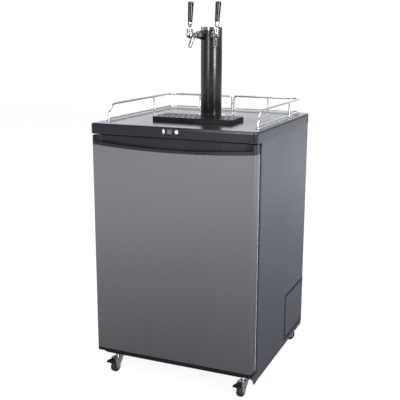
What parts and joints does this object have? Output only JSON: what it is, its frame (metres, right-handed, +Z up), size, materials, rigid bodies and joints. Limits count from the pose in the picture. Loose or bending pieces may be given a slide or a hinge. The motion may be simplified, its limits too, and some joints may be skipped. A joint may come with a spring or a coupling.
{
  "type": "kegerator",
  "caption": "Rolling beer dispenser cabinet with a hinged steel door, a tap tower with pull handles, a drip tray, a guard rail and swivel casters.",
  "frame": {"origin": "on the floor, under the middle of the worktop", "axes": "+Z up, -Y towards the door, +X towards the hinged side of the door, which is on the right"},
  "size_m": [0.6, 0.625, 1.334],
  "materials": {
    "black_enamel": "gloss",
    "foam": "matte",
    "white_plastic": "satin",
    "brushed_steel": "satin",
    "aluminium": "satin",
    "black_gloss": "gloss",
    "zinc": "satin",
    "black_plastic": "satin",
    "grey_rubber": "matte",
    "chrome": "polished",
    "smoked_lens": "gloss"
  },
  "bodies": {
    "cabinet": {"cabinet_shell": "black_enamel", "cabinet_core": "foam", "inner_liner": "white_plastic", "keg_floor_plate": "brushed_steel", "cold_plate": "aluminium", "worktop": "black_gloss", "base_pan": "zinc", "kick_plate": "black_plastic", "right_side_cover": "black_enamel", "left_side_cover": "black_enamel", "rear_cover": "black_enamel", "cord_inlet": "black_plastic", "compressor": "black_enamel", "condenser_coil": "black_enamel", "upper_hinge": "black_enamel", "lower_hinge": "black_enamel", "control_panel": "black_gloss", "display_window": "smoked_lens", "left_rail": "chrome", "right_rail": "chrome", "tower_flange": "chrome", "tower_column": "black_enamel", "left_collar": "black_plastic", "right_collar": "black_plastic", "left_shank": "chrome", "right_shank": "chrome", "left_coupling_nut": "chrome", "right_coupling_nut": "chrome", "left_faucet": "chrome", "right_faucet": "chrome"},
    "door": {"door_panel": "brushed_steel", "door_core": "foam", "door_liner": "white_plastic", "door_top_cap": "black_plastic", "door_bottom_cap": "black_plastic", "door_gasket": "grey_rubber"},
    "arrow_rocker": {"arrow_button": "white_plastic"},
    "power_press": {"power_button": "white_plastic"},
    "cap": {"tower_cap": "chrome"},
    "tray": {"drip_tray": "black_plastic", "drip_tray_floor": "black_plastic"},
    "grille": {"drip_grille": "black_plastic"},
    "left_tap": {"left_lever": "chrome", "left_handle": "black_gloss"},
    "right_tap": {"right_lever": "chrome", "right_handle": "black_gloss"},
    "front_left_swivel": {"front_left_fork": "zinc"},
    "front_left_roller": {"front_left_wheel": "black_plastic"},
    "front_left_pedal": {"front_left_brake": "black_plastic"},
    "front_right_swivel": {"front_right_fork": "zinc"},
    "front_right_roller": {"front_right_wheel": "black_plastic"},
    "front_right_pedal": {"front_right_brake": "black_plastic"},
    "rear_left_swivel": {"rear_left_fork": "zinc"},
    "rear_left_roller": {"rear_left_wheel": "black_plastic"},
    "rear_right_swivel": {"rear_right_fork": "zinc"},
    "rear_right_roller": {"rear_right_wheel": "black_plastic"}
  },
  "joints": [
    {"name": "door_hinge", "type": "hinge", "parent": "cabinet", "child": "door", "pos_m": [0.284, -0.2825, 0.1], "axis": [0, 0, 1], "range_deg": [0, 120]},
    {"name": "arrow_rock", "type": "hinge", "parent": "cabinet", "child": "arrow_rocker", "pos_m": [-0.022, -0.3065, 0.91355], "axis": [1, 0, 0], "range_deg": [-4, 4], "stiffness_Nm_per_rad": 0.01},
    {"name": "power_push", "type": "slide", "parent": "cabinet", "child": "power_press", "axis": [0, 1, 0], "range_m": [0, 0.001], "stiffness_N_per_m": 100},
    {"name": "cap_lift", "type": "slide", "parent": "cabinet", "child": "cap", "axis": [0, 0, 1], "range_m": [0, 0.04]},
    {"name": "tray_lift", "type": "slide", "parent": "cabinet", "child": "tray", "axis": [0, 0, 1], "range_m": [0, 0.05]},
    {"name": "grille_lift", "type": "slide", "parent": "tray", "child": "grille", "axis": [0, 0, 1], "range_m": [0, 0.03]},
    {"name": "left_tap_pull", "type": "hinge", "parent": "cabinet", "child": "left_tap", "pos_m": [-0.05022, -0.03599, 1.236], "axis": [0.8499, -0.527, 0], "range_deg": [0, 35]},
    {"name": "right_tap_pull", "type": "hinge", "parent": "cabinet", "child": "right_tap", "pos_m": [0.05117, -0.03541, 1.23596], "axis": [0.8478, 0.5257, -0.0698], "range_deg": [0, 35]},
    {"name": "front_left_turn", "type": "hinge", "parent": "cabinet", "child": "front_left_swivel", "pos_m": [-0.247, -0.2385, 0.062], "axis": [0, 0, 1], "continuous": true},
    {"name": "front_left_roll", "type": "hinge", "parent": "front_left_swivel", "child": "front_left_roller", "pos_m": [-0.25157, -0.26002, 0.01975], "axis": [0.9781, -0.2079, 0], "continuous": true},
    {"name": "front_left_brake_press", "type": "hinge", "parent": "front_left_swivel", "child": "front_left_pedal", "pos_m": [-0.25293, -0.26638, 0.0504], "axis": [0.9781, -0.2079, 0], "range_deg": [0, 12]},
    {"name": "front_right_turn", "type": "hinge", "parent": "cabinet", "child": "front_right_swivel", "pos_m": [0.247, -0.2385, 0.062], "axis": [0, 0, 1], "continuous": true},
    {"name": "front_right_roll", "type": "hinge", "parent": "front_right_swivel", "child": "front_right_roller", "pos_m": [0.24243, -0.26002, 0.01975], "axis": [0.9781, -0.2079, 0], "continuous": true},
    {"name": "front_right_brake_press", "type": "hinge", "parent": "front_right_swivel", "child": "front_right_pedal", "pos_m": [0.24108, -0.26638, 0.0504], "axis": [0.9781, -0.2079, 0], "range_deg": [0, 12]},
    {"name": "rear_left_turn", "type": "hinge", "parent": "cabinet", "child": "rear_left_swivel", "pos_m": [-0.247, 0.262, 0.062], "axis": [0, 0, 1], "continuous": true},
    {"name": "rear_left_roll", "type": "hinge", "parent": "rear_left_swivel", "child": "rear_left_roller", "pos_m": [-0.26024, 0.27957, 0.01975], "axis": [-0.7986, -0.6018, 0], "continuous": true},
    {"name": "rear_right_turn", "type": "hinge", "parent": "cabinet", "child": "rear_right_swivel", "pos_m": [0.247, 0.262, 0.062], "axis": [0, 0, 1], "continuous": true},
    {"name": "rear_right_roll", "type": "hinge", "parent": "rear_right_swivel", "child": "rear_right_roller", "pos_m": [0.26024, 0.27957, 0.01975], "axis": [-0.7986, 0.6018, 0], "continuous": true}
  ]
}
